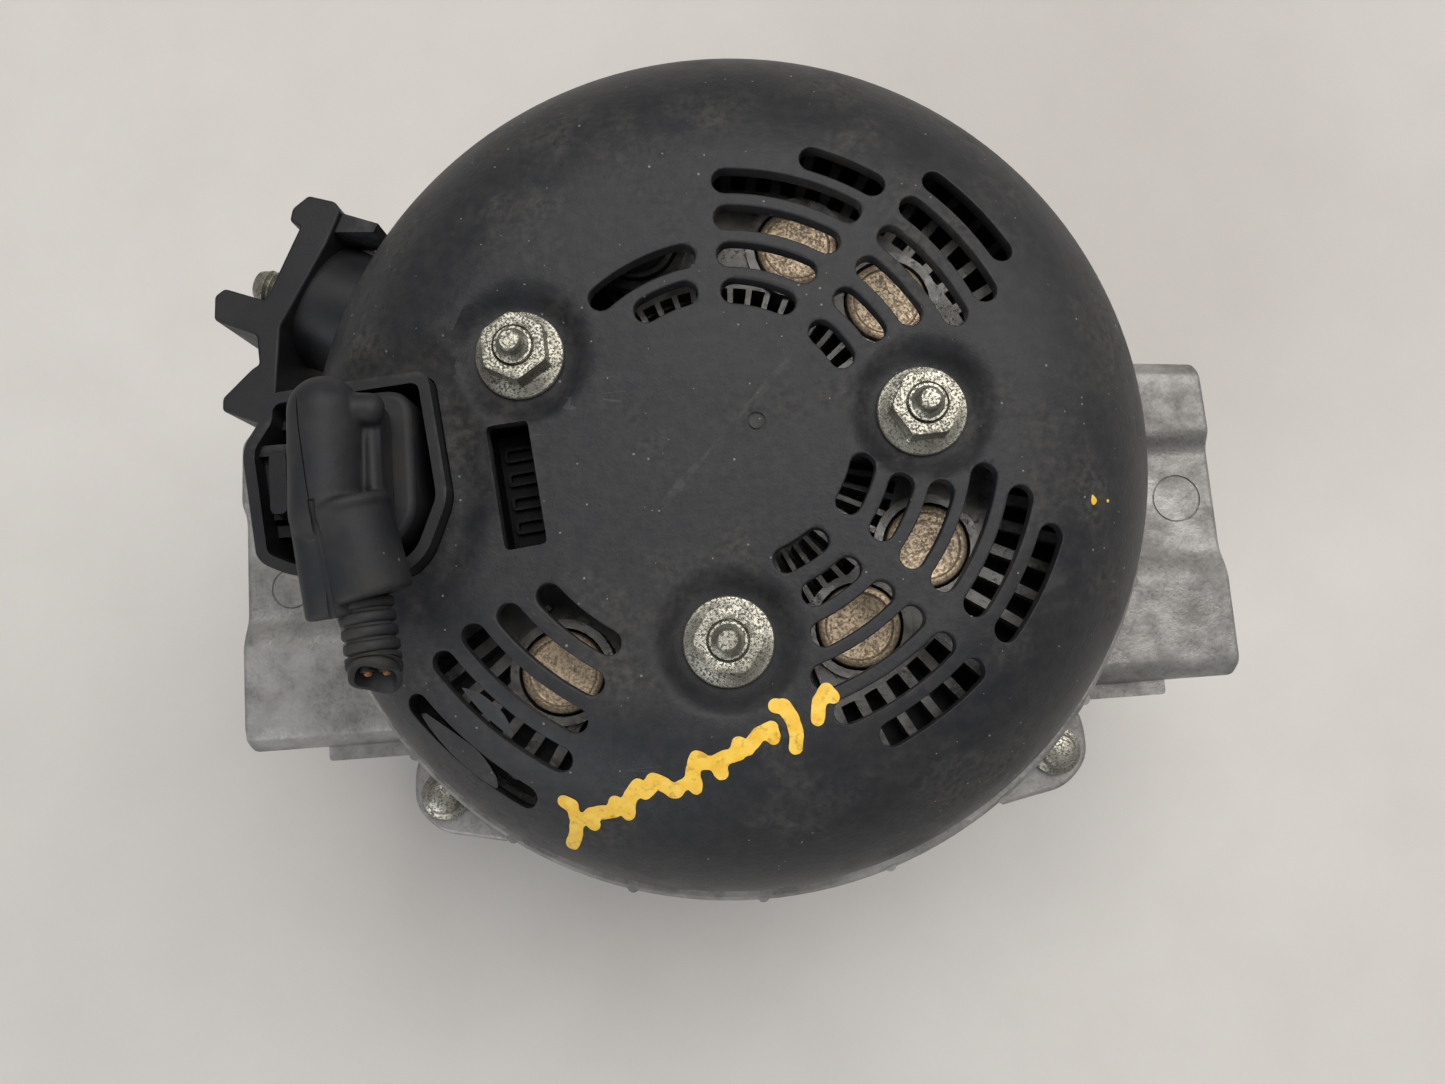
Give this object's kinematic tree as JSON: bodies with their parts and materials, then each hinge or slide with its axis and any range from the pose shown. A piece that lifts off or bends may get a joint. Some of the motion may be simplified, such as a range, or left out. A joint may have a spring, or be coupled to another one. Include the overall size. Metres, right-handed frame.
{
  "type": "car alternator",
  "caption": "Car alternator: vented black rear cover, cast end brackets with two mounting ears, ribbed drive pulley, plug-in regulator lead and a spinning claw-pole rotor.",
  "frame": {"origin": "centre of the front end of the rotor shaft, where it meets the plane of the pulley face that the part stands on", "axes": "+Z along the shaft from the pulley to the rear cover; +X along the two mounting ears; +Y away from the ears' pads"},
  "size_m": [0.179, 0.1356, 0.1651],
  "materials": {
    "cast_alloy": "as-cast, dusty",
    "zinc_steel": "zinc plated, tarnished",
    "bright_steel": "machined",
    "cover_plastic": "fine matt, dusty",
    "black_moulding": "matt",
    "boot_rubber": "matt",
    "laminated_steel": "dull",
    "varnished_copper": "insulating varnish",
    "copper": "tarnished copper",
    "sink_alloy": "as-cast",
    "carbon": "carbon",
    "ring_insulation": "moulded resin",
    "marker_paint": "brushed marker paint",
    "pulley_steel": "black phosphate"
  },
  "bodies": {
    "housing": {"front_bracket": "cast_alloy", "ear_bushing_right": "bright_steel", "ear_bushing_left": "bright_steel", "rear_bracket": "cast_alloy", "through_bolt_1": "bright_steel", "through_bolt_2": "bright_steel", "through_bolt_3": "bright_steel", "through_bolt_4": "bright_steel", "stator_core": "laminated_steel", "stator_winding": "varnished_copper", "front_bearing_outer_race": "bright_steel", "rear_bearing_outer_race": "bright_steel", "bearing_retainer": "zinc_steel", "retainer_screw_1": "zinc_steel", "retainer_screw_2": "zinc_steel", "retainer_screw_3": "zinc_steel", "rectifier_positive_sink": "sink_alloy", "rectifier_negative_sink": "sink_alloy", "rectifier_terminal_module": "black_moulding", "diode_1": "copper", "diode_2": "copper", "diode_3": "copper", "diode_4": "copper", "diode_5": "copper", "diode_6": "copper", "voltage_regulator": "black_moulding", "brush_holder": "black_moulding", "rear_cover": "cover_plastic", "cover_stud_1": "zinc_steel", "cover_nut_1": "zinc_steel", "cover_stud_2": "zinc_steel", "cover_nut_2": "zinc_steel", "cover_stud_3": "zinc_steel", "cover_nut_3": "zinc_steel", "output_stud": "zinc_steel", "output_insulator": "black_moulding", "plug_housing": "black_moulding", "plug_boot": "boot_rubber", "plug_wire_1": "boot_rubber", "plug_wire_2": "boot_rubber", "brush_spring_1": "bright_steel", "brush_spring_2": "bright_steel"},
    "rotor": {"rotor_shaft": "bright_steel", "front_pole_claw": "laminated_steel", "rear_pole_claw": "laminated_steel", "field_coil": "varnished_copper", "front_fan": "bright_steel", "rear_fan": "bright_steel", "slip_ring_inner": "copper", "slip_ring_outer": "copper", "slip_ring_insulator": "ring_insulation", "shaft_collar": "bright_steel", "front_bearing_inner_race": "bright_steel", "rear_bearing_inner_race": "bright_steel", "drive_pulley": "pulley_steel", "pulley_nut": "zinc_steel"},
    "front_balls": {"front_ball_cage": "bright_steel"},
    "rear_balls": {"rear_ball_cage": "bright_steel"},
    "brush_one": {"brush_1": "carbon"},
    "brush_two": {"brush_2": "carbon"}
  },
  "joints": [
    {"name": "rotor_spin", "type": "hinge", "parent": "housing", "child": "rotor", "pos_m": [0, 0, 0.075], "axis": [0, 0, 1], "continuous": true},
    {"name": "front_cage_spin", "type": "hinge", "parent": "housing", "child": "front_balls", "pos_m": [0, 0, 0.045], "axis": [0, 0, 1], "continuous": true},
    {"name": "rear_cage_spin", "type": "hinge", "parent": "housing", "child": "rear_balls", "pos_m": [0, 0, 0.1135], "axis": [0, 0, 1], "continuous": true},
    {"name": "brush_1_slide", "type": "slide", "parent": "housing", "child": "brush_one", "axis": [-1, 0, 0], "range_m": [0, 0.004], "stiffness_N_per_m": 100, "springref_m": -0.02, "deforming": ["brush_spring_1"]},
    {"name": "brush_2_slide", "type": "slide", "parent": "housing", "child": "brush_two", "axis": [-1, 0, 0], "range_m": [0, 0.004], "stiffness_N_per_m": 100, "springref_m": -0.02, "deforming": ["brush_spring_2"]}
  ],
  "couplings": [
    {"joint": "front_cage_spin", "follows": "rotor_spin", "ratio": 0.3773},
    {"joint": "rear_cage_spin", "follows": "rotor_spin", "ratio": 0.3968}
  ]
}
